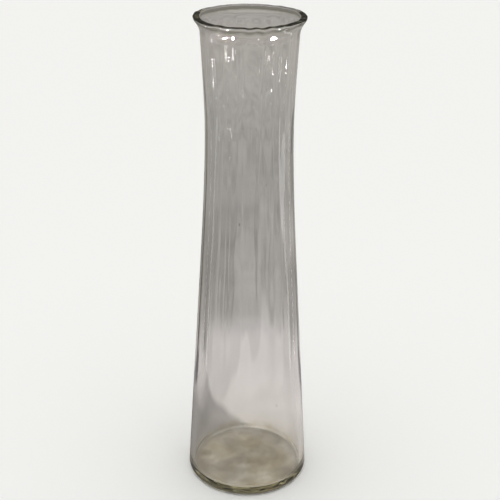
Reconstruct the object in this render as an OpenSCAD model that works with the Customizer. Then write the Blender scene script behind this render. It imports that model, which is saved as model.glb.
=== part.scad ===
// Clear glass column vase: a mouth that flares to a flat lip, a waisted column with optic
// panels, and a heavy round foot. The real vase is one piece of blown glass. It is drawn here
// as four zones that meet face to face. It stands on the XY plane with its axis on +Z, and
// its front faces -Y. All lengths are in millimetres.

/* [Overall] */
// Height from the resting plane to the top of the lip
vase_h = 250; // [240:1:290]
// Radius of the foot at the top of its rounded heel
foot_r = 32.2; // [30:0.1:36]
// Radius of the waist, the narrowest part of the column
waist_r = 21.6; // [20.5:0.1:22.5]
// Height of the waist as a share of the vase's height
waist_share = 0.79; // [0.72:0.01:0.82]

/* [Lip] */
// Outer radius of the lip
lip_r = 26.6; // [25.8:0.1:28]
// Width of the flat on top of the lip
lip_flat = 2.5; // [1.6:0.1:2.8]
// Radius of the fire-polished round on each edge of the lip
lip_round = 0.35; // [0.3:0.05:0.6]
// Outer radius of the neck where its final flare starts
neck_r = 23.4; // [23:0.1:24]
// Height of the final flare and the lip together
flare_h = 8.2; // [7:0.1:9]

/* [Foot] */
// Radius of the rounded heel
heel_r = 3; // [2.5:0.1:4]
// Thickness of the glass under the inner heel
floor_t = 3.6; // [3.2:0.1:5]
// Rise of the inner floor at its centre
floor_dome = 1.2; // [0.4:0.1:2]
// Radius of the inner heel, where the floor turns up into the wall
fillet_r = 2.4; // [2:0.1:3.5]
// Radius of the push-up under the foot
punt_r = 19.6; // [14:0.1:22]
// Height of the push-up at its centre
punt_h = 1.2; // [0.8:0.1:2]
// Height of the foot zone
foot_h = 16; // [14:0.5:20]

/* [Wall] */
// Wall thickness just above the floor
foot_wall = 2.8; // [2.6:0.1:3.2]
// Wall thickness at the waist and in the neck
neck_wall = 2.5; // [2.2:0.1:2.7]

/* [Optic panels] */
// Number of panels around the vase
panel_count = 12; // [8:2:16]
// Depth of a panel, from 0 for a round wall to 1 for panels that meet in a sharp edge
panel_share = 0.6; // [0.3:0.05:0.85]
// Turn of the panels about the axis, in degrees
panel_turn = 2; // [-15:0.5:15]
// Height that a panel starts above the foot zone
panel_start = 34; // [10:1:44]
// Height that a panel stops below the final flare
panel_stop = 10; // [6:1:18]
// Length over which a panel fades in at each of its ends
panel_fade = 30; // [20:1:34]

/* [Quality] */
// Segments in a full circle
round_segments = 144; // [96:12:180]
// Steps along each curve of the outline
curve_steps = 12; // [10:1:18]

/* [Hidden] */
clear_tint = [0.78, 0.80, 0.76, 0.45];
foot_tint = [0.62, 0.61, 0.50, 0.60];
$fn = round_segments;
arc_steps = 10;
fade_steps = 6;
panel_steps = 16;

// How far a panel's slab stands off the round wall where it cuts nothing, and past its ends
clear = 0.4;
over = 1;

waist_z = vase_h * waist_share;
flare_z = vase_h - flare_h;
neck_length = flare_z - waist_z;
lip_outer = [lip_r - lip_round, vase_h - lip_round];
lip_inner = lip_outer - [lip_flat, 0];
floor_r = foot_r - foot_wall - fillet_r;
floor_sphere_r = (floor_r * floor_r + floor_dome * floor_dome) / (2 * floor_dome);
panel_low = foot_h + panel_start;
panel_high = flare_z - panel_stop;

// Radius gained per millimetre of height: at the heel, and where the neck starts to flare
foot_lean = -0.06;
neck_lean = 0.07;

function reverse(path) = [for (i = [len(path) - 1:-1:0]) path[i]];

// Points of an arc about a centre, from one angle to another
function arc(centre, r, start, end) = [for (i = [0:arc_steps])
    let (a = start + (end - start) * i / arc_steps) centre + r * [cos(a), sin(a)]];

// Points of a smooth curve from a to d that leaves towards b and arrives from c
function curve(a, b, c, d) = [for (i = [0:curve_steps]) let (t = i / curve_steps, u = 1 - t)
    u * u * u * a + 3 * t * u * u * b + 3 * t * t * u * c + t * t * t * d];

function without_first(path) = [for (i = [1:len(path) - 1]) path[i]];

// Radius of a path of [radius, height] points at one height
function radius_at(path, z) = lookup(z, [for (p = path) [p[1], p[0]]]);

// The stretch of a path between two heights, with a point at each of them
function stretch(path, low, high) = concat(
    [[radius_at(path, low), low]],
    [for (p = path) if (p[1] > low && p[1] < high) p],
    [[radius_at(path, high), high]]);

// Outer wall, from the top of the heel to the start of the final flare
column_curve = curve(
    [foot_r, heel_r],
    [foot_r + foot_lean * waist_z * 0.58, heel_r + waist_z * 0.58],
    [waist_r, waist_z * 0.82],
    [waist_r, waist_z]);
neck_curve = curve(
    [waist_r, waist_z],
    [waist_r, waist_z + neck_length * 0.22],
    [neck_r - neck_lean * neck_length * 0.14, flare_z - neck_length * 0.14],
    [neck_r, flare_z]);
outer_wall = concat(column_curve, without_first(neck_curve));

// Inner wall: the thickness falls steadily from the foot to the waist
function wall_at(z) = neck_wall + (foot_wall - neck_wall) * max(0, 1 - z / waist_z);
inner_wall = [for (p = outer_wall) [p[0] - wall_at(p[1]), p[1]]];

// Final flare: it leaves the neck at its lean and turns upright at the edge of the lip
flare_curve = curve(
    [neck_r, flare_z],
    [neck_r, flare_z] + flare_h * 0.6 * [neck_lean, 1],
    [lip_r, vase_h - lip_round - flare_h * 0.19],
    [lip_r, vase_h - lip_round]);

// Inside of the mouth, from the end of the inner round down to the neck
mouth_end = lip_inner - [lip_round, 0];
mouth_curve = curve(
    mouth_end,
    mouth_end - [0, flare_h * 0.18],
    [neck_r - neck_wall, flare_z] + flare_h * 0.55 * [neck_lean, 1],
    [neck_r - neck_wall, flare_z]);

// Push-up: level in the middle of the foot and level again where it meets the bearing ring
punt_curve = curve([0, punt_h], [0.4 * punt_r, punt_h], [0.7 * punt_r, 0], [punt_r, 0]);

// Depth of a panel at one height: none below and above it, full between its fades
function panel_depth(z) =
    let (rise = min(1, (z - panel_low) / panel_fade, (panel_high - z) / panel_fade),
         full = radius_at(outer_wall, z) * (1 - cos(180 / panel_count)) * panel_share)
    rise > 0 ? full * rise * rise * (3 - 2 * rise) : -clear;

// Heights of the points along a panel: close together in its fades, then one every step
full_length = panel_high - panel_low - 2 * panel_fade;
panel_heights = concat(
    [for (i = [0:fade_steps]) panel_low + panel_fade * i / fade_steps],
    [for (i = [1:panel_steps - 1]) panel_low + panel_fade + full_length * i / panel_steps],
    [for (i = [fade_steps:-1:0]) panel_high - panel_fade * i / fade_steps]);

module flared_lip() {
    color(clear_tint)
        rotate_extrude()
            polygon(concat(
                flare_curve,
                without_first(arc(lip_outer, lip_round, 0, 90)),
                arc(lip_inner, lip_round, 90, 180),
                without_first(mouth_curve)));
}

// Ring of wall between two heights, round inside and out
module round_wall(low, high) {
    rotate_extrude()
        polygon(concat(stretch(outer_wall, low, high), reverse(stretch(inner_wall, low, high))));
}

// Two opposite panels: a slab as thick as the column is across them
module panel_pair() {
    half = concat(
        [[foot_r + clear, foot_h - over]],
        [for (p = outer_wall) if (p[1] > foot_h && p[1] < panel_low) p + [clear, 0]],
        [for (z = panel_heights) [radius_at(outer_wall, z) - panel_depth(z), z]],
        [for (p = outer_wall) if (p[1] > panel_high && p[1] < flare_z) p + [clear, 0]],
        [[neck_r + clear, flare_z + over]]);
    rotate([90, 0, 0])
        linear_extrude(3 * foot_r, center = true)
            polygon(concat(half, [for (p = reverse(half)) [-p[0], p[1]]]));
}

module panelled_wall(low, high) {
    intersection() {
        round_wall(low, high);
        intersection_for(i = [0:panel_count / 2 - 1])
            rotate(-90 + panel_turn + (i + 0.5) * 360 / panel_count)
                panel_pair();
    }
}

module flared_neck() {
    color(clear_tint)
        panelled_wall(waist_z, flare_z);
}

module panelled_column() {
    color(clear_tint)
        panelled_wall(foot_h, waist_z);
}

module heavy_foot() {
    color(foot_tint)
        rotate_extrude()
            polygon(concat(
                punt_curve,
                arc([foot_r - heel_r, heel_r], heel_r, -90, 0),
                without_first(stretch(outer_wall, heel_r, foot_h)),
                reverse(stretch(inner_wall, floor_t + fillet_r, foot_h)),
                without_first(arc([floor_r, floor_t + fillet_r], fillet_r, 0, -90)),
                without_first(arc([0, floor_t + floor_dome - floor_sphere_r], floor_sphere_r,
                    90 - asin(floor_r / floor_sphere_r), 90))));
}

flared_lip();
flared_neck();
panelled_column();
heavy_foot();
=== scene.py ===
import math

import bpy
import numpy as np
from mathutils import Matrix, Vector


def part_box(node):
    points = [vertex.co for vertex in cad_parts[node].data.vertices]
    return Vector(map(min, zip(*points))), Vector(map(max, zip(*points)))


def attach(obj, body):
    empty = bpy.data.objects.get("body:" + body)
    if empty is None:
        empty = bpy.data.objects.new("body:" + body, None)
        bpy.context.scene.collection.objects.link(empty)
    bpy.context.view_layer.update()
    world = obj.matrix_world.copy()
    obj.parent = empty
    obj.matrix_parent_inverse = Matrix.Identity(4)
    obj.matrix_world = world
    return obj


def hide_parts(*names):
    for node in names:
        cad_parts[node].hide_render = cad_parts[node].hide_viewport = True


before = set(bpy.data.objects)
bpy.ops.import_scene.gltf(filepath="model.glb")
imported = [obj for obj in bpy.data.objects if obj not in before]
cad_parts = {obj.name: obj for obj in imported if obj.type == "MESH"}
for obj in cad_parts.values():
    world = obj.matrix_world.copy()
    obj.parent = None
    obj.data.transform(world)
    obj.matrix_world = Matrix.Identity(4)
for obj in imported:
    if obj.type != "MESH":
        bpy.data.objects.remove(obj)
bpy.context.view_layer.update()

# The looks of a clear glass column vase. All lengths are in metres, in the frame of the packed
# model: the foot rests on the XY plane, the axis is +Z and the front faces -Y.

MM = 0.001

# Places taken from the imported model
FOOT_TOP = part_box("heavy_foot")[1]
WAIST_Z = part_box("panelled_column")[1].z
NECK_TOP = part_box("flared_neck")[1]
LIP_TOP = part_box("flared_lip")[1]
VASE_H, LIP_R = LIP_TOP.z, LIP_TOP.x
FOOT_R, FOOT_H = FOOT_TOP.x, FOOT_TOP.z
NECK_R, FLARE_Z = NECK_TOP.x, NECK_TOP.z


# ---------------------------------------------------------------- camera

CAMERA_FAR = 1.95 * VASE_H       # across the floor from the vase's axis
CAMERA_HIGH = 1.436 * VASE_H     # above the floor
CAMERA_DOWN = 25.12              # degrees below the horizon
CAMERA_YAW = 0.09                # degrees to the right of the axis
CAMERA_ROLL = 0.43               # degrees that the vase leans to the right in the picture
CAMERA_LENS = 76.0               # millimetres, on a 36 mm sensor


def make_camera():
    data = bpy.data.cameras.new("camera")
    data.sensor_width = 36
    data.lens = CAMERA_LENS
    data.clip_start = 0.01
    camera = bpy.data.objects.new("camera", data)
    turn = (Matrix.Rotation(math.radians(-CAMERA_YAW), 4, "Z")
            @ Matrix.Rotation(math.radians(90 - CAMERA_DOWN), 4, "X")
            @ Matrix.Rotation(math.radians(CAMERA_ROLL), 4, "Z"))
    camera.matrix_world = Matrix.Translation((0, -CAMERA_FAR, CAMERA_HIGH)) @ turn
    bpy.context.scene.collection.objects.link(camera)
    bpy.context.scene.camera = camera


# ---------------------------------------------------------------- section of the glass

WAIST_R = 21.6 * MM
LIP_ROUND = 0.35 * MM
LIP_FLAT = 2.5 * MM
HEEL_R = 3.0 * MM
FLOOR_T = 3.6 * MM
FLOOR_DOME = 1.2 * MM
FILLET_R = 2.4 * MM
PUNT_R = 19.6 * MM
PUNT_H = 1.2 * MM
MIDDLE_R = 0.02 * MM             # radius of the small face that closes the push-up
FOOT_WALL = 2.8 * MM
NECK_WALL = 2.5 * MM
FOOT_LEAN = -0.06                # radius gained for each unit of height
NECK_LEAN = 0.07


def arc(centre, r, start, end, steps):
    a = np.radians(np.linspace(start, end, steps + 1))
    return np.array(centre) + r * np.column_stack([np.cos(a), np.sin(a)])


def curve(a, b, c, d, steps):
    """Points of a smooth curve from a to d that leaves towards b and arrives from c."""
    t = np.linspace(0, 1, steps + 1)[:, None]
    a, b, c, d = map(np.array, (a, b, c, d))
    return (1 - t) ** 3 * a + 3 * t * (1 - t) ** 2 * b + 3 * t * t * (1 - t) * c + t ** 3 * d


def line(a, b, steps):
    return np.linspace(a, b, steps + 1)


def joined(*stretches):
    """One path from stretches that each start where the one before ends."""
    return np.concatenate([stretches[0]] + [s[1:] for s in stretches[1:]])


def outer_wall():
    """[radius, height] from the top of the heel up to the start of the final flare."""
    neck = FLARE_Z - WAIST_Z
    column = curve((FOOT_R, HEEL_R),
                   (FOOT_R + FOOT_LEAN * WAIST_Z * 0.58, HEEL_R + WAIST_Z * 0.58),
                   (WAIST_R, WAIST_Z * 0.82), (WAIST_R, WAIST_Z), 66)
    throat = curve((WAIST_R, WAIST_Z), (WAIST_R, WAIST_Z + neck * 0.22),
                   (NECK_R - NECK_LEAN * neck * 0.14, FLARE_Z - neck * 0.14),
                   (NECK_R, FLARE_Z), 28)
    return joined(column, throat)


def inner_wall(wall):
    """The inside of the wall, from the final flare down to the top of the inner heel."""
    thick = NECK_WALL + (FOOT_WALL - NECK_WALL) * np.clip(1 - wall[:, 1] / WAIST_Z, 0, 1)
    inner = np.column_stack([wall[:, 0] - thick, wall[:, 1]])[::-1]
    low = FLOOR_T + FILLET_R
    end = (np.interp(low, wall[:, 1], wall[:, 0]) - FOOT_WALL, low)
    return np.concatenate([inner[inner[:, 1] > low + 0.5 * MM], [end]])


def lip():
    """From the start of the final flare, over the lip and down the inside to the same height."""
    flare = VASE_H - FLARE_Z
    outer = (LIP_R - LIP_ROUND, VASE_H - LIP_ROUND)
    inner = (outer[0] - LIP_FLAT, outer[1])
    rise = curve((NECK_R, FLARE_Z), (NECK_R + 0.6 * flare * NECK_LEAN, FLARE_Z + 0.6 * flare),
                 (LIP_R, outer[1] - 0.19 * flare), (LIP_R, outer[1]), 16)
    end = (inner[0] - LIP_ROUND, inner[1])
    fall = curve(end, (end[0], end[1] - 0.18 * flare),
                 (NECK_R - NECK_WALL + 0.55 * flare * NECK_LEAN, FLARE_Z + 0.55 * flare),
                 (NECK_R - NECK_WALL, FLARE_Z), 16)
    return joined(
        rise,
        arc(outer, LIP_ROUND, 0, 90, 10),
        line((outer[0], VASE_H), (inner[0], VASE_H), 2),
        arc(inner, LIP_ROUND, 90, 180, 10),
        fall)


def dome(r, low, rise, steps):
    """A flat dome that rises from low at radius r to its middle."""
    ball = (r * r + rise * rise) / (2 * rise)
    half = math.degrees(math.asin(r / ball))
    return arc((0, low + rise - ball), ball, 90 - half, 90 - 0.001 * half, steps)


def outline():
    """The whole section and the number of points on its outside, from the push-up to the lip."""
    wall = outer_wall()
    inner = inner_wall(wall)
    heel = (inner[-1][0] - FILLET_R, FLOOR_T + FILLET_R)
    outside = joined(
        curve((MIDDLE_R, PUNT_H), (0.4 * PUNT_R, PUNT_H), (0.7 * PUNT_R, 0), (PUNT_R, 0), 20),
        line((PUNT_R, 0), (FOOT_R - HEEL_R, 0), 5),
        arc((FOOT_R - HEEL_R, HEEL_R), HEEL_R, -90, 0, 14),
        wall)
    path = joined(
        outside, lip(), inner,
        arc(heel, FILLET_R, 0, -90, 12),
        dome(heel[0], FLOOR_T, FLOOR_DOME, 16))
    return path, len(outside)


# ---------------------------------------------------------------- the blown surface

PANELS = 12
PANEL_TURN = 2                   # degrees
PANEL_SHARE = 0.6
PANEL_START = 34 * MM            # above the foot zone
PANEL_STOP = 10 * MM             # below the final flare
PANEL_FADE = 30 * MM
PANEL_SOFT = 0.5 * MM            # how softly a panel runs into the round wall beside it

SEGMENTS = 288
RANDOM_SEED = 7

# Random waves of the blown glass: how many are summed, turns around the axis, wavelengths along
# it, and size
STREAKS = (9, (5, 22), (0.12, 0.5), 0.05 * MM)
WAVES = (6, (2, 9), (0.03, 0.12), 0.035 * MM)
SKIN = (7, (3, 16), (0.05, 0.4), 0.022 * MM)
DENTS = (6, (1, 3), (0.08, 0.2), 0.13 * MM)
LIP_WAVE = (5, (2, 6), (1, 2), 0.10 * MM)
SNAGS = (6, (9, 26), (1, 2), 0.22 * MM)
HAND_START = 25 * MM             # height where the streaks and waves start
HAND_FADE = 75 * MM
SNAG_AT = 1.52 * math.pi         # angle about the axis where the lip is most uneven
SNAG_WIDE = 0.45
SNAG_START = 2 * MM              # above the start of the final flare
SNAG_FADE = 5 * MM


def smooth(x):
    x = np.clip(x, 0, 1)
    return x * x * (3 - 2 * x)


def panelled(r, z, angle):
    """Radius of the outer wall with its flat panels pressed into the round."""
    rise = np.minimum(z - FOOT_H - PANEL_START, FLARE_Z - PANEL_STOP - z) / PANEL_FADE
    pitch = 2 * math.pi / PANELS
    off = (angle - math.radians(PANEL_TURN - 90)) % pitch - pitch / 2
    flat = r * (1 - (1 - math.cos(pitch / 2)) * PANEL_SHARE) / np.cos(off)
    near = np.clip(1 - np.abs(flat - r) / PANEL_SOFT, 0, 1)
    pressed = np.minimum(flat, r) - PANEL_SOFT * near * near / 4
    return r + (pressed - r) * smooth(rise)


def ripple(random, angle, z, waves, turns, heights, size):
    """Sum of random waves: a number of turns around the axis, a wavelength along it."""
    total = np.zeros(np.broadcast(angle, z).shape)
    for n in range(waves):
        m = random.integers(turns[0], turns[1] + 1)
        length = random.uniform(*heights) * random.choice([-1, 1])
        total += np.cos(m * angle + 2 * math.pi * z / length + random.uniform(0, 2 * math.pi))
    return size * total / math.sqrt(waves / 2)


def skin_faces(rings):
    """Four-sided faces between the rings of points, and one face to close each end."""
    faces = []
    for below in range(0, (rings - 1) * SEGMENTS, SEGMENTS):
        above = below + SEGMENTS
        for side in range(SEGMENTS):
            after = (side + 1) % SEGMENTS
            faces.append((below + side, below + after, above + after, above + side))
    faces.append(tuple(reversed(range(SEGMENTS))))
    faces.append(tuple(range((rings - 1) * SEGMENTS, rings * SEGMENTS)))
    return faces


def blown_surface(random, path, outside):
    """Points of the glass, ring by ring along its section and round the axis in each ring."""
    angle = np.linspace(0, 2 * math.pi, SEGMENTS, endpoint=False)[None, :]
    r, z = path[:, 0][:, None], path[:, 1][:, None]
    number = np.arange(len(path))[:, None]
    inside = number >= outside
    r = np.where(inside, r, panelled(r, z, angle))
    z = np.broadcast_to(z, r.shape).copy()

    # Hand of the glass: long shallow streaks inside, fainter ones outside, none on the foot
    body = smooth((z - HAND_START) / HAND_FADE)
    calm = 1 - smooth((z - FLARE_Z) / (VASE_H - FLARE_Z))
    streaks = ripple(random, angle, z, *STREAKS)
    waves = ripple(random, angle, z, *WAVES)
    skin = ripple(random, angle, z, *SKIN)
    r = r + body * calm * np.where(inside, streaks + waves, skin)

    # The floor inside is gently uneven, most of all half-way out
    floor = inside * smooth((FLOOR_T + FLOOR_DOME + 0.5 * MM - z) / (0.5 * MM))
    swell = np.sin(math.pi * np.clip(r / FOOT_R, 0, 1))
    z = z + floor * swell * ripple(random, angle, 9 * r, *DENTS)

    # The lip is a little uneven in height, most of all at the front
    top = smooth((z - FLARE_Z - SNAG_START) / SNAG_FADE)
    front = 0.2 + np.exp(-((angle - SNAG_AT) / SNAG_WIDE) ** 2)
    lip_wave = ripple(random, angle, 0 * z, *LIP_WAVE)
    outer_snag = ripple(random, angle, 0 * z, *SNAGS) * front
    inner_snag = ripple(random, angle, 0 * z, *SNAGS) * front
    snag = np.where(inside, inner_snag, outer_snag)
    z = z + top * (lip_wave + snag)
    r = r + top * np.where(inside, 0.6, 0.2) * snag
    return np.stack([r * np.cos(angle), r * np.sin(angle), z], axis=-1).reshape(-1, 3)


def make_vase():
    random = np.random.default_rng(RANDOM_SEED)
    path, outside = outline()
    points = blown_surface(random, path, outside).tolist()
    faces = skin_faces(len(path))
    add_bubbles(random, points, faces)

    mesh = bpy.data.meshes.new("glass_vase")
    mesh.from_pydata(points, [], faces)
    mesh.validate()
    vase = bpy.data.objects.new("glass_vase", mesh)
    bpy.context.scene.collection.objects.link(vase)
    for face in mesh.polygons:
        face.use_smooth = True
    return vase


BUBBLES = 16
BUBBLE_SIDES = 8
BUBBLE_DEPTH = 1.5 * MM          # of a bubble's middle, in from the outer wall
BUBBLE_TALL = 1.8                # height of a bubble for each unit of its width


def add_bubbles(random, points, faces):
    """Small long bubbles shut inside the wall: their faces look inwards, to the air in them."""
    wall = outer_wall()
    for n in range(BUBBLES):
        around = random.uniform(0, 2 * math.pi)
        height = random.uniform(30 * MM, FLARE_Z - 15 * MM)
        size = random.uniform(0.16, 0.34) * MM
        middle = np.interp(height, wall[:, 1], wall[:, 0]) - BUBBLE_DEPTH
        first = len(points)
        for level in range(1, BUBBLE_SIDES // 2):
            up = math.pi * level / (BUBBLE_SIDES // 2)
            for side in range(BUBBLE_SIDES):
                turn = 2 * math.pi * side / BUBBLE_SIDES
                out = middle + size * math.sin(up) * math.cos(turn)
                along = size * math.sin(up) * math.sin(turn)
                points.append((out * math.cos(around) - along * math.sin(around),
                               out * math.sin(around) + along * math.cos(around),
                               height + BUBBLE_TALL * size * math.cos(up)))
        for end in (1, -1):
            points.append((middle * math.cos(around), middle * math.sin(around),
                           height + end * BUBBLE_TALL * size))
        levels = BUBBLE_SIDES // 2 - 1
        top = first + levels * BUBBLE_SIDES
        for side in range(BUBBLE_SIDES):
            after = (side + 1) % BUBBLE_SIDES
            faces.append((first + after, first + side, top))
            low = first + (levels - 1) * BUBBLE_SIDES
            faces.append((low + side, low + after, top + 1))
            for level in range(levels - 1):
                a = first + level * BUBBLE_SIDES
                b = a + BUBBLE_SIDES
                faces.append((a + side, a + after, b + after, b + side))


# ---------------------------------------------------------------- glass

GLASS_IOR = 1.52
GLASS_TINT = (0.76, 0.74, 0.55)
GLASS_DENSITY = 36               # how strongly the tint absorbs, for each metre of glass
LIMESCALE = (0.84, 0.79, 0.69)


def node(tree, kind, **values):
    """Adds a node and sets its values: its own, or those of its inputs, with _ for a space."""
    made = tree.nodes.new(kind)
    for name, value in values.items():
        if hasattr(made, name):
            setattr(made, name, value)
        else:
            made.inputs[name.replace("_", " ")].default_value = value
    return made


def sums(tree):
    """A function that adds a Math node. Its inputs are numbers or other nodes' sockets."""
    def maths(operation, *values):
        made = node(tree, "ShaderNodeMath", operation=operation)
        for socket, value in zip(made.inputs, values):
            if isinstance(value, bpy.types.NodeSocket):
                tree.links.new(value, socket)
            else:
                socket.default_value = value
        return made.outputs["Value"]
    return maths


def glass_material():
    mat = bpy.data.materials.new("clear_glass")
    mat.use_nodes = True
    nt = mat.node_tree
    link = nt.links.new
    maths = sums(nt)
    shader = nt.nodes["Principled BSDF"]
    shader.inputs["IOR"].default_value = GLASS_IOR
    shader.inputs["Transmission Weight"].default_value = 1.0

    place = node(nt, "ShaderNodeTexCoord").outputs["Object"]
    parts = node(nt, "ShaderNodeSeparateXYZ")
    link(place, parts.inputs[0])
    height = parts.outputs["Z"]

    def noise(scale, detail, stretch):
        spread = node(nt, "ShaderNodeMapping", Scale=stretch)
        link(place, spread.inputs["Vector"])
        made = node(nt, "ShaderNodeTexNoise", Scale=scale, Detail=detail)
        link(spread.outputs[0], made.inputs["Vector"])
        return made.outputs[0]

    def remap(value, low, high, a, b):
        made = node(nt, "ShaderNodeMapRange", From_Min=low, From_Max=high, To_Min=a, To_Max=b)
        link(value, made.inputs[0])
        return made.outputs[0]

    # Roughness: a worn bearing ring, dried water marks low in the column, a faint haze all over
    worn = maths("MULTIPLY", remap(height, 0.02 * MM, 0.12 * MM, 1, 0),
                 remap(noise(300, 3, (1, 1, 1)), 0.45, 0.7, 0.02, 0.14))
    marks = maths("MULTIPLY", remap(height, 12 * MM, 70 * MM, 1, 0),
                  remap(noise(160, 4, (1, 1, 0.4)), 0.56, 0.7, 0, 0.05))
    haze = remap(noise(55, 2, (1, 1, 0.5)), 0.4, 0.75, 0, 0.012)
    link(maths("ADD", worn, maths("ADD", marks, haze)), shader.inputs["Roughness"])

    # Blotchy limescale on the floor inside
    limescale = maths("MULTIPLY", remap(height, 5 * MM, 9 * MM, 1, 0),
                      remap(noise(85, 3, (1, 1, 1)), 0.40, 0.64, 0, 1))
    tint = node(nt, "ShaderNodeMix", data_type="RGBA")    # its colours are sockets 6 and 7
    tint.inputs[6].default_value = (1, 1, 1, 1)
    tint.inputs[7].default_value = (*LIMESCALE, 1)
    link(limescale, tint.inputs[0])
    link(tint.outputs[2], shader.inputs["Base Color"])

    # Fine ripple of the skin, drawn out upwards
    bump = node(nt, "ShaderNodeBump", Strength=0.2, Distance=0.05 * MM)
    grain = maths("ADD", noise(130, 2, (1, 1, 0.25)),
                  remap(noise(260, 1, (1, 1, 0.6)), 0, 1, 0, 0.35))
    link(grain, bump.inputs["Height"])
    link(bump.outputs[0], shader.inputs["Normal"])

    # Light is tinted in the depth of the glass, most of all in the thick foot
    absorb = node(nt, "ShaderNodeVolumeAbsorption", Color=(*GLASS_TINT, 1), Density=GLASS_DENSITY)
    link(absorb.outputs[0], nt.nodes["Material Output"].inputs["Volume"])
    return mat


# ---------------------------------------------------------------- stage

FLOOR_HALF = 4.0                 # half of the floor's width
FLOOR_DROP = 0.2 * MM
PALE = 0.94                      # the floor's own colour
PLAIN = 0.9                      # and the backdrop's

# What the glass shows of the floor, a glow with its light and shade painted in, such as the shade
# under and round the foot: distance from the axis in millimetres, then linear colour
FLOOR_SEEN = [
    (8, (0.64, 0.57, 0.45)),
    (17, (0.68, 0.61, 0.50)),
    (26, (0.82, 0.76, 0.65)),
    (31, (0.50, 0.46, 0.40)),
    (45, (0.57, 0.54, 0.52)),
    (85, (0.66, 0.62, 0.62)),
    (130, (0.65, 0.61, 0.61)),
    (152, (0.58, 0.55, 0.55)),
    (174, (0.45, 0.43, 0.42)),
    (200, (0.41, 0.39, 0.38)),
    (260, (0.39, 0.37, 0.36)),
    (340, (0.41, 0.39, 0.38)),
    (440, (0.35, 0.335, 0.325)),
    (700, (0.395, 0.38, 0.37)),
    (1000, (0.46, 0.435, 0.415)),
    (1500, (0.41, 0.39, 0.36)),
    (1900, (0.32, 0.31, 0.27)),
    (2600, (0.21, 0.205, 0.175)),
]

# How that floor's glow is painted with light and shade. An edge is a pair of places in millimetres
# that a mark fades between. A gain is what the mark multiplies the brightness by, before its edge
# and after it.
CLOUDS = 0.64                    # how far the brightness wanders in broad clouds
FOOT_MOTTLE = 1.3                     # and in smaller blotches, brighter and darker, in the painted glow under the foot
MOTTLE_EDGE = (30, 25)            # distance from the axis
SLANT_LEAN = 0.34                # X gained for each unit of Y along the edge of a painted shade on the left
SLANT_EDGE = (-46, -38)          # X where that edge passes beside the axis
SLANT_GAIN = (0.88, 1.04)
SHADE_FACING = (0.74, 0.67)      # X and Y of the way to the straight edge of the foot's shade
SHADE_EDGE = (20, 27)            # distance that way
SHADE_FOOT = (29, 34)            # distance from the axis that is in the shade on every side
SHADE_END = (85, 120)            # distance from the axis where the shade ends
SHADE_GAIN = (0.52, 1)
PATCH_AT = (-4, -11)             # X and Y of the middle of a darker patch under the foot
PATCH_EDGE = (7, 17)             # distance from there
PATCH_GAIN = (0.72, 1)
FRONT_EDGE = (-16, -23)          # Y where the better lit front starts
FRONT_GAIN = (1, 1.36)
STRIP_START = (150, 185)         # distance from the axis where the darker strips start
# The strips: side, edge in X on that side, distance from the axis where it ends, gain
STRIPS = [
    (-1, (21, 27), (440, 330), (1, 0.73)),
    (1, (27, 33), (330, 250), (1, 0.78)),
]

# What the glass shows of the room: height of the direction, 1 straight up, then linear colour
ROOM_SEEN = [
    (0.10, (0.11, 0.1067, 0.0935)),
    (0.18, (0.06, 0.0582, 0.051)),
    (0.66, (0.06, 0.058, 0.05)),
    (0.80, (1, 1, 0.98)),
]
ROOM_LIGHT = 1.95
ROOM_DIM = 0.25                  # share of it that is left in front and at the sides


def colour_ramp(tree, value, table):
    """Colour by value, from rows of a value between 0 and 1 and its colour."""
    ramp = node(tree, "ShaderNodeValToRGB")
    stops = ramp.color_ramp.elements
    while len(stops) < len(table):
        stops.new(0.5)
    for stop, (at, colour) in zip(stops, table):
        stop.position = at
        stop.color = (*colour, 1)
    tree.links.new(value, ramp.inputs["Fac"])
    return ramp.outputs["Color"]


def end_tree(tree, kind, to_camera, to_glass):
    """Ends a tree with one shader for rays from the camera and another for all other rays."""
    end = node(tree, kind)
    mix = node(tree, "ShaderNodeMixShader")
    path = node(tree, "ShaderNodeLightPath")
    tree.links.new(path.outputs["Is Camera Ray"], mix.inputs["Fac"])
    tree.links.new(to_glass.outputs[0], mix.inputs[1])
    tree.links.new(to_camera.outputs[0], mix.inputs[2])
    tree.links.new(mix.outputs[0], end.inputs["Surface"])


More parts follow.
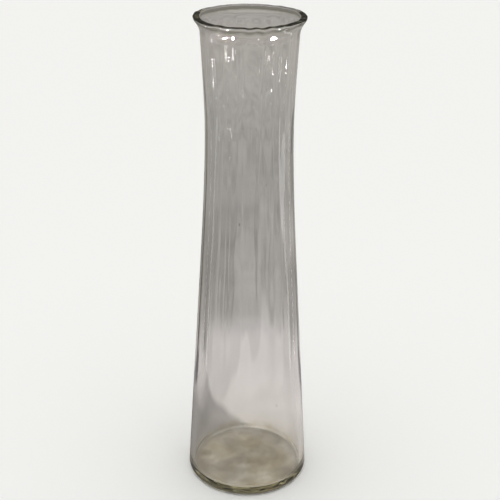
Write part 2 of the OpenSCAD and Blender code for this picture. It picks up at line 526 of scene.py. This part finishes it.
def floor_light(tree, place):
    """Distance of a place on the floor from the axis, and how brightly it glows with painted light
    and shade.
    """
    maths = sums(tree)
    parts = node(tree, "ShaderNodeSeparateXYZ")
    tree.links.new(place, parts.inputs[0])
    x, y = parts.outputs["X"], parts.outputs["Y"]

    def distance(at_x, at_y):
        along = maths("POWER", maths("SUBTRACT", x, at_x * MM), 2)
        across = maths("POWER", maths("SUBTRACT", y, at_y * MM), 2)
        return maths("SQRT", maths("ADD", along, across))

    def past(value, edge):
        """0 before an edge and 1 after it, softly."""
        made = node(tree, "ShaderNodeMapRange", interpolation_type="SMOOTHSTEP",
                    From_Min=edge[0] * MM, From_Max=edge[1] * MM)
        tree.links.new(value, made.inputs[0])
        return made.outputs[0]

    def gain(share, factors):
        return maths("MULTIPLY_ADD", share, factors[1] - factors[0], factors[0])

    def blotches(scale, detail, distortion, middle):
        made = node(tree, "ShaderNodeTexNoise", Scale=scale, Detail=detail, Distortion=distortion)
        tree.links.new(place, made.inputs["Vector"])
        return maths("SUBTRACT", made.outputs[0], middle)

    reach = distance(0, 0)
    clouds = maths("MULTIPLY_ADD", blotches(16, 1, 0.8, 0.5), CLOUDS, 1)
    # Painted glow in blotches, brighter and darker, under the foot, fading out beyond it
    foot_mottle = maths("MULTIPLY", blotches(60, 2, 1.2, 0.46), past(reach, MOTTLE_EDGE))
    light = maths("MULTIPLY_ADD", foot_mottle, FOOT_MOTTLE, clouds)

    # Painted shade on the left of a slanting edge behind the vase
    slant = past(maths("MULTIPLY_ADD", y, -SLANT_LEAN, x), SLANT_EDGE)
    facing = maths("MULTIPLY_ADD", x, SHADE_FACING[0], maths("MULTIPLY", y, SHADE_FACING[1]))
    lit = maths("MINIMUM", past(facing, SHADE_EDGE), past(reach, SHADE_FOOT))
    lit = maths("MAXIMUM", lit, past(reach, SHADE_END))
    marks = [
        gain(slant, SLANT_GAIN),
        gain(lit, SHADE_GAIN),
        gain(past(distance(*PATCH_AT), PATCH_EDGE), PATCH_GAIN),
        gain(past(y, FRONT_EDGE), FRONT_GAIN),
    ]
    for side, edge, end, factors in STRIPS:
        aside = past(maths("MULTIPLY", x, side), edge)
        length = maths("MULTIPLY", past(reach, STRIP_START), past(reach, end))
        marks.append(gain(maths("MULTIPLY", aside, length), factors))
    for mark in marks:
        light = maths("MULTIPLY", light, mark)
    return reach, light


def floor_material():
    """Plain and pale to the camera, while the glass shows a darker floor that glows with painted
    uneven light and shade.
    """
    mat = bpy.data.materials.new("floor")
    mat.use_nodes = True
    nt = mat.node_tree
    nt.nodes.clear()
    pale = node(nt, "ShaderNodeBsdfDiffuse", Color=(PALE, PALE, PALE, 1))
    shown = node(nt, "ShaderNodeEmission")
    reach, light = floor_light(nt, node(nt, "ShaderNodeNewGeometry").outputs["Position"])
    far = FLOOR_SEEN[-1][0]
    share = sums(nt)("MULTIPLY", reach, 1 / (far * MM))
    colour = colour_ramp(nt, share, [(away / far, tone) for away, tone in FLOOR_SEEN])
    nt.links.new(colour, shown.inputs["Color"])
    nt.links.new(light, shown.inputs["Strength"])
    end_tree(nt, "ShaderNodeOutputMaterial", pale, shown)
    return mat


def make_floor():
    data = bpy.data.meshes.new("floor")
    corners = [(x * FLOOR_HALF, y * FLOOR_HALF, -FLOOR_DROP)
               for x, y in ((-1, -1), (1, -1), (1, 1), (-1, 1))]
    data.from_pydata(corners, [], [(0, 1, 2, 3)])
    floor = bpy.data.objects.new("floor", data)
    bpy.context.scene.collection.objects.link(floor)
    floor.data.materials.append(floor_material())


def make_world():
    """Plain and pale to the camera, while the glass shows a dim room with a light overhead."""
    world = bpy.data.worlds.new("studio")
    world.use_nodes = True
    nt = world.node_tree
    nt.nodes.clear()
    maths = sums(nt)
    pale = node(nt, "ShaderNodeBackground", Color=(PLAIN, PLAIN, PLAIN, 1))
    shown = node(nt, "ShaderNodeBackground")
    parts = node(nt, "ShaderNodeSeparateXYZ")
    nt.links.new(node(nt, "ShaderNodeTexCoord").outputs["Generated"], parts.inputs[0])
    back, up = parts.outputs["Y"], parts.outputs["Z"]
    bright = node(nt, "ShaderNodeVectorMath", operation="SCALE", Scale=ROOM_LIGHT)
    nt.links.new(colour_ramp(nt, up, ROOM_SEEN), bright.inputs[0])
    nt.links.new(bright.outputs[0], shown.inputs["Color"])

    # Dimmer in front and at the sides, apart from overhead and near the horizon
    overhead = maths("MULTIPLY", up, 0.8)
    level = maths("MULTIPLY_ADD", up, -6, 1.2)
    lit = maths("MAXIMUM", maths("MAXIMUM", back, overhead), level)
    strength = node(nt, "ShaderNodeMapRange", From_Min=0.25, From_Max=0.6,
                    To_Min=ROOM_DIM, To_Max=1)
    nt.links.new(lit, strength.inputs[0])
    nt.links.new(strength.outputs[0], shown.inputs["Strength"])
    end_tree(nt, "ShaderNodeOutputWorld", pale, shown)
    bpy.context.scene.world = world


# ---------------------------------------------------------------- lamps

# All lengths here are in millimetres, a turn is about the axis from the front, in degrees, and
# a glow is a radiance. Small far lamps give the chains of glints along the edges of the panels:
# turn, width, bottom, top, glow
SMALL_FAR = 500
SMALL_LAMPS = [
    (-56, 12, 128, 152, 110),
    (-50, 7, 116, 122, 110),
    (-52, 6, 76, 84, 90),
    (-50, 5, 54, 58, 90),
    (-53, 5, 38, 42, 80),
    (-49, 4, 27, 29, 80),
    (-48, 4, 19, 20, 70),
    (64, 12, 132, 158, 110),
    (58, 7, 112, 120, 90),
    (60, 7, 74, 84, 90),
    (54, 6, 44, 49, 80),
    (50, 4, 27, 29, 70),
    (20, 8, 84, 98, 90),
    (20, 7, 60, 66, 90),
    (-97, 10, 61, 71, 130),
    (-97, 9, 37, 45, 130),
    (98, 8, 50, 70, 60),
]
# Tall soft lamps close by give the upright strips at the sides: turn, width, glow
TALL_FAR = 160
TALL_LOW = 3
TALL_HIGH = 150
TALL_LAMPS = [
    (-104, 9, 2.4),
    (-84, 5, 1.8),
    (112, 12, 2.4),
    (90, 5, 2.0),
]
# Narrow beams from low down that only the flare under the lip mirrors: turn, distance, size, glow
BEAM_LOW = 3
BEAM_AIM = 262                   # height on the axis that a beam points to
BEAM_SPREAD = 26                 # degrees
BEAMS = [
    (-62, 280, 16, 60),
    (-58, 235, 9, 60),
    (-52, 200, 17, 60),
    (-49, 260, 10, 60),
    (59, 280, 14, 60),
    (63, 245, 12, 60),
    (66, 210, 14, 60),
    (70, 270, 10, 60),
    (-96, 240, 14, 40),
    (18, 240, 8, 30),
]


def make_lamp(turn, far, height, size, glow, target, spread=180, mirror_only=True):
    """A lamp that shows only in the glass, and if mirror_only, only where the glass mirrors it."""
    data = bpy.data.lights.new("lamp", "AREA")
    data.shape = "RECTANGLE"
    data.size = size[0] * MM
    data.size_y = size[1] * MM
    data.spread = math.radians(spread)
    data.energy = glow * math.pi * data.size * data.size_y
    lamp = bpy.data.objects.new("lamp", data)
    angle = math.radians(turn - 90)
    at = Vector((far * math.cos(angle), far * math.sin(angle), height)) * MM
    away = at - Vector((0, 0, target)) * MM
    lamp.matrix_world = Matrix.Translation(at) @ away.to_track_quat("Z", "Y").to_matrix().to_4x4()
    lamp.visible_camera = False
    lamp.visible_diffuse = False
    lamp.visible_transmission = not mirror_only
    bpy.context.scene.collection.objects.link(lamp)


def make_lamps():
    for turn, width, low, high, glow in SMALL_LAMPS:
        middle = (low + high) / 2
        make_lamp(turn, SMALL_FAR, middle, (width, high - low), glow, middle, mirror_only=False)
    for turn, width, glow in TALL_LAMPS:
        middle = (TALL_LOW + TALL_HIGH) / 2
        make_lamp(turn, TALL_FAR, middle, (width, TALL_HIGH - TALL_LOW), glow, middle)
    for turn, far, size, glow in BEAMS:
        make_lamp(turn, far, BEAM_LOW, (size, size), glow, BEAM_AIM, BEAM_SPREAD)


# ---------------------------------------------------------------- the scene

# Light runs far up and down inside the wall before it leaves the lip or the heel
GLASS_BOUNCES = 48
MIRROR_BOUNCES = 24

make_camera()
make_floor()
make_world()
make_lamps()
vase = make_vase()
vase.data.materials.append(glass_material())
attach(vase, "root")
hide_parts("flared_lip", "flared_neck", "panelled_column", "heavy_foot")
scene = bpy.context.scene
scene.view_settings.view_transform = "Standard"
scene.cycles.max_bounces = GLASS_BOUNCES
scene.cycles.transmission_bounces = GLASS_BOUNCES
scene.cycles.glossy_bounces = MIRROR_BOUNCES
